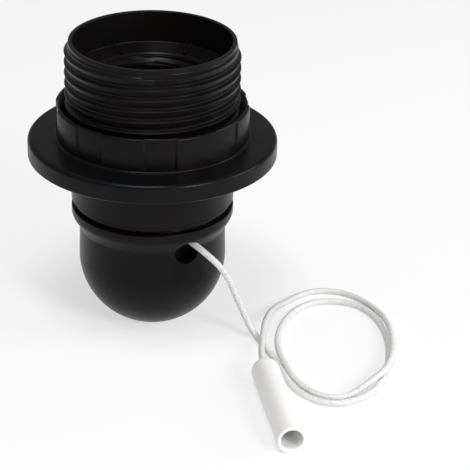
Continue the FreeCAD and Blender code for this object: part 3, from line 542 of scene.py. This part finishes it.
def recess(angle):
    """1 in a grip recess and 0 on a raised pad, with a slope between them."""
    period = 360 / GRIP_COUNT
    turned = (math.degrees(angle) - GRIP_PHASE + period / 2) % period - period / 2
    inside = GRIP_ANGLE / 2 - abs(turned)
    return min(max(0.5 + 0.5 * inside / GRIP_SLOPE, 0.0), 1.0)


def grip_row(radius, height, share):
    """Row whose grip recesses are a share of their full depth."""
    return lambda angle: (radius - GRIP_DEPTH * share * recess(angle), height)


def ring():
    edge = [
        (FLANGE_RECESS, FLANGE_FOOT),
        (FLANGE - 0.2, FLANGE_FOOT),
        (FLANGE, FLANGE_FOOT + 0.2),
        *arc_rows((FLANGE - FLANGE_EDGE, FLANGE_TOP - FLANGE_EDGE), FLANGE_EDGE, 0, 90, 10),
        (COLLAR + 0.42, FLANGE_TOP + 0.1),
    ]
    # Radius, height and share of the grips' depth.
    collar = [
        (COLLAR + 0.36, FLANGE_TOP + 0.14, 0),
        (COLLAR + 0.34, FLANGE_TOP + 0.32, 0),
        (COLLAR + 0.26, FLANGE_TOP + 0.44, 0),
        (COLLAR + 0.12, FLANGE_TOP + 0.52, 0),
        (COLLAR, FLANGE_TOP + 0.56, 0),
        (COLLAR, FLANGE_TOP + 0.56, 1),
        (COLLAR, COLLAR_TOP - 0.42, 1),
        (COLLAR - 0.06, COLLAR_TOP - 0.25, 1),
        (COLLAR - 0.2, COLLAR_TOP - 0.08, 1),
        (COLLAR - 0.4, COLLAR_TOP, 0.8),
        (COLLAR - 0.8, COLLAR_TOP, 0),
    ]
    rows = [
        (RING_BORE, FLANGE_FOOT + 0.3),
        (RING_BORE + 0.3, FLANGE_FOOT),
        (COLLAR_FOOT, FLANGE_FOOT),
        (COLLAR_FOOT, FLANGE_CEILING),
        (FLANGE_RECESS, FLANGE_CEILING),
        *edge,
        *(grip_row(*row) for row in collar),
        (RING_BORE + RING_LEAD_IN, COLLAR_TOP - 0.02),
        (RING_BORE + 1.15, COLLAR_TOP - 0.12),
        (RING_BORE, COLLAR_TOP - RING_LEAD_IN),
    ]
    item = lathe("shade_ring_moulding", rows, ring_angles())
    return dress(shade(item), BLACK)


# ---------------------------------------------------------------- cord and bell

CORD_DIAMETER = 1.5
CORD_SIDE = 1.1
CORD_HEIGHT = 24.0
LEAD_START = 4.1
LEAD_INSIDE = 12
LEAD_BEND = (19.6, 1.4, 24.4)
LEAD_POINTS = [
    Vector((16.4, -17.0, 18.6)),
    Vector((19.6, -14.6, 9.6)),
    Vector((23.0, -14.6, 1.4)),
    Vector((26.4, -22.0, 0.76)),
]
TAIL_POINTS = [Vector((25.2, -19.5, 2.75)), Vector((24.5, -26.5, 3.0))]
TAIL_END = 3.6
FLOOR_LIFT = 0.76
COIL_CENTRE = Vector((41.0, -18.7, 0))
COIL_HALF = Vector((13.75, 25.6, 0))
COIL_START = 205
COIL_END = 889
COIL_STEPS = 56
# Changes along the turns: from this angle, over this many degrees, by this much. Reach is a
# share of the oval's half lengths, and lift is in millimetres.
COIL_REACH = (
    (205, 25, 0.065),
    (250, 45, -0.05),
    (300, 45, -0.06),
    (385, 65, -0.17),
    (470, 90, 0.135),
    (570, 40, 0.045),
    (622, 30, -0.055),
    (654, 48, 0.10),
    (700, 45, 0.035),
    (760, 50, -0.05),
    (835, 60, 0.13),
)
COIL_LIFT = (
    (538, 14, 0.75),
    (566, 20, -0.75),
    (640, 34, 1.5),
    (726, 44, -1.5),
    (846, 40, 1.8),
)
BELL_POLE = Vector((24.65, -32.7, 3.15))
BELL_TURN = math.radians(8.2)
BELL_ALONG = Vector((math.sin(BELL_TURN), -math.cos(BELL_TURN), 0))
BELL_RADIUS = 3.15
BELL_LENGTH = 32.0
BELL_BORE = 2.4
BELL_FLOOR = 4.0
BELL_EYE = 0.87
BELL_EYE_ANGLE = -74
KNOT = 1.6
KNOT_STRAND = 0.62
KNOT_STEPS = 90
ROUTE_STEPS = 80
BRAID_STEP = 0.17
BRAID_PITCH = 5.6
BRAID_STRANDS = 6
BRAID_DEPTH = 0.16


def turned(x, y, z):
    """Place given with the pull along +X, turned to where the cord leaves the cap."""
    return Matrix.Rotation(PULL_ANGLE, 3, "Z") @ Vector((x, y, z))


def stepped(turn, changes):
    """Sum of smooth changes, each given as from-angle, over-angle and amount."""
    return sum(amount * smooth_step((turn - start) / over) for start, over, amount in changes)


def coil_points():
    """Loose oval turns: the first closes in, and the second crosses it on its way to the bell."""
    points = []
    for step in range(COIL_STEPS + 1):
        turn = COIL_START + (COIL_END - COIL_START) * step / COIL_STEPS
        angle = math.radians(turn)
        reach = 1 + stepped(turn, COIL_REACH)
        lift = FLOOR_LIFT + stepped(turn, COIL_LIFT)
        out = Vector((COIL_HALF.x * math.cos(angle), COIL_HALF.y * math.sin(angle), 0)) * reach
        points.append(COIL_CENTRE + out + Vector((0, 0, lift)))
    return points


def cord_route():
    start = [turned(x, CORD_SIDE, CORD_HEIGHT) for x in (LEAD_START, LEAD_INSIDE)]
    end = BELL_POLE + BELL_ALONG * TAIL_END
    return [*start, turned(*LEAD_BEND), *LEAD_POINTS, *coil_points(), *TAIL_POINTS, BELL_POLE, end]


def route_line(points):
    """Points of the smooth NURBS line that the route controls, evenly thinned."""
    data = bpy.data.curves.new("route", "CURVE")
    data.dimensions = "3D"
    data.resolution_u = ROUTE_STEPS
    spline = data.splines.new("NURBS")
    spline.points.add(len(points) - 1)
    for point, place in zip(spline.points, points):
        point.co = (*place, 1)
    spline.order_u = 3
    spline.use_endpoint_u = True
    item = add_object("route", data)
    bpy.context.view_layer.update()
    graph = bpy.context.evaluated_depsgraph_get()
    mesh = bpy.data.meshes.new_from_object(item.evaluated_get(graph))
    line = [mesh.vertices[0].co.copy()]
    step = BRAID_STEP * 1
    for vertex in mesh.vertices:
        if (vertex.co - line[-1]).length >= step:
            line.append(vertex.co.copy())
    bpy.data.objects.remove(item)
    return line


def braid_height(along, around):
    """Two crossing sets of strands, each passing over and under the other."""
    turn = FULL_TURN * along / BRAID_PITCH
    right = BRAID_STRANDS * (around - turn) / 2
    left = BRAID_STRANDS * (around + turn) / 2
    over = math.cos(right) * math.cos(left) > 0
    strand = abs(math.cos(right if over else left))
    return BRAID_DEPTH * (strand**0.6 - 1)


def braided_tube(name, line, radius, sides=24):
    """Tube of braided strands along a line, in a frame that doesn't twist."""
    mesh = bmesh.new()
    ahead = (line[1] - line[0]).normalized()
    side = ahead.orthogonal().normalized()
    rings = []
    travelled = 0.0
    for index, place in enumerate(line):
        after = line[min(index + 1, len(line) - 1)]
        before = line[max(index - 1, 0)]
        ahead = (after - before).normalized()
        side = (side - ahead * side.dot(ahead)).normalized()
        across = ahead.cross(side)
        travelled += (place - before).length
        ring = []
        for step in range(sides):
            around = FULL_TURN * step / sides
            reach = radius + braid_height(travelled, around)
            point = place + (side * math.cos(around) + across * math.sin(around)) * reach
            ring.append(mesh.verts.new(point * MM))
        rings.append(ring)
    for first, second in zip(rings, rings[1:]):
        for step in range(sides):
            after = (step + 1) % sides
            mesh.faces.new((first[step], first[after], second[after], second[step]))
    mesh.faces.new(reversed(rings[0]))
    mesh.faces.new(rings[-1])
    return finish_mesh(name, mesh)


def bell():
    """Tube with a rounded closed end, where the cord's eye is, and a round-lipped mouth."""
    crown = arc_rows((0, BELL_RADIUS), BELL_RADIUS, BELL_EYE_ANGLE, 0, 20)
    tube = [
        (BELL_RADIUS, BELL_RADIUS),
        (BELL_RADIUS, BELL_LENGTH),
        (BELL_BORE, BELL_LENGTH),
        (BELL_BORE, BELL_FLOOR),
        (BELL_EYE, BELL_FLOOR),
    ]
    item = lathe("pull_bell_moulding", [*crown, *round_corners(tube, 0.5, 6)], turn_angles(96))
    return dress(shade(stand_along(item, BELL_POLE, BELL_ALONG)), WHITE)


def knot():
    """Overhand knot drawn tight: a small trefoil of the cord."""
    reach = (KNOT - KNOT_STRAND) / 3
    centre = BELL_POLE + BELL_ALONG * (BELL_FLOOR + KNOT)
    line = []
    for step in range(KNOT_STEPS + 1):
        turn = FULL_TURN * step / KNOT_STEPS
        across = math.sin(turn) + 2 * math.sin(2 * turn)
        upward = math.cos(turn) - 2 * math.cos(2 * turn)
        line.append(centre + Vector((across, -1.2 * math.sin(3 * turn), upward)) * reach)
    item = braided_tube("bell_knot_cord", line, KNOT_STRAND, 16)
    return dress(shade(item, BRAID_SHARP), CORD)


# ---------------------------------------------------------------- stage

FLOOR_HALF = 3.0
WHITE_SHARE = 0.6
WORLD_STRENGTH = 0.3
LIGHT_TARGET = Vector((0.0, 0.0, 0.04))
# Name, place, size and power, in metres and watts.
LIGHTS = (
    ("key", (0.50, -0.62, 0.46), (0.26, 0.26), 3.7),
    ("side", (0.66, -0.02, 0.26), (0.30, 0.20), 1.5),
    ("top", (-0.08, -0.28, 0.90), (0.30, 0.30), 3.8),
)
CAMERA_PLACE = (0, -0.42765, 0.23255)
CAMERA_LENS = 156.97
CAMERA_PITCH = math.radians(26.504)
CAMERA_YAW = math.radians(2.576)
CAMERA_ROLL = math.radians(1.222)


def floor_material():
    """Near-white card. A share of what the eye and reflections see of it is plain white."""
    material, nodes, links = new_material("floor")
    shader = nodes["Principled BSDF"]
    shader.inputs["Base Color"].default_value = (0.93, 0.93, 0.93, 1)
    shader.inputs["Roughness"].default_value = 0.9
    shader.inputs["Specular IOR Level"].default_value = 0.2
    path = nodes.new("ShaderNodeLightPath")
    seen = path.outputs["Is Camera Ray"]
    for name in ("Is Glossy Ray", "Is Transmission Ray"):
        either = nodes.new("ShaderNodeMath")
        either.operation = "MAXIMUM"
        links.new(seen, either.inputs[0])
        links.new(path.outputs[name], either.inputs[1])
        seen = either.outputs["Value"]
    share = nodes.new("ShaderNodeMath")
    share.operation = "MULTIPLY"
    share.inputs[1].default_value = WHITE_SHARE
    links.new(seen, share.inputs[0])
    white = nodes.new("ShaderNodeEmission")
    white.inputs["Color"].default_value = (1, 1, 1, 1)
    mix = nodes.new("ShaderNodeMixShader")
    links.new(share.outputs["Value"], mix.inputs["Fac"])
    links.new(shader.outputs["BSDF"], mix.inputs[1])
    links.new(white.outputs["Emission"], mix.inputs[2])
    links.new(mix.outputs["Shader"], nodes["Material Output"].inputs["Surface"])
    return material


def floor_and_world():
    mesh = bmesh.new()
    bmesh.ops.create_grid(mesh, x_segments=1, y_segments=1, size=FLOOR_HALF)
    floor = finish_mesh("floor", mesh)
    floor.data.materials.append(floor_material())
    world = bpy.data.worlds.new("studio")
    world.use_nodes = True
    back = world.node_tree.nodes["Background"]
    back.inputs["Color"].default_value = (1, 1, 1, 1)
    back.inputs["Strength"].default_value = WORLD_STRENGTH
    bpy.context.scene.world = world


def area_light(name, place, size, power):
    data = bpy.data.lights.new(name, "AREA")
    data.shape = "RECTANGLE"
    data.size, data.size_y = size
    data.energy = power
    light = add_object(name, data)
    light.location = place
    aim = LIGHT_TARGET - Vector(place)
    light.rotation_euler = aim.to_track_quat("-Z", "Y").to_euler()


def camera():
    data = bpy.data.cameras.new("camera")
    data.sensor_width = 36
    data.lens = CAMERA_LENS
    data.clip_start = 0.01
    item = add_object("camera", data)
    level = Euler((math.pi / 2 - CAMERA_PITCH, 0, -CAMERA_YAW), "XYZ").to_matrix()
    aim = level @ Matrix.Rotation(CAMERA_ROLL, 3, "Z")
    item.matrix_world = Matrix.Translation(CAMERA_PLACE) @ aim.to_4x4()
    bpy.context.scene.camera = item


def make_object():
    for item, body, node in (
        (barrel(), "holder", "threaded_barrel"),
        (dome(), "holder", "dome_cap"),
        (ring(), "ring", "shade_ring"),
        (bell(), "holder", "pull_bell"),
        (knot(), "holder", "bell_knot"),
    ):
        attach(item, body)
        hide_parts(node)


def make_cord():
    line = route_line(cord_route())
    item = braided_tube("pull_cord", line, CORD_DIAMETER / 2)
    cord = dress(shade(item, BRAID_SHARP), CORD)
    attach(cord, "holder")
    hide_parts("cord_lead", "cord_coil", "cord_tail")


def main():
    paint_cad_nodes()
    make_object()
    make_cord()
    floor_and_world()
    for name, place, size, power in LIGHTS:
        area_light(name, place, size, power)
    camera()
    scene = bpy.context.scene
    scene.view_settings.view_transform = "Standard"


main()
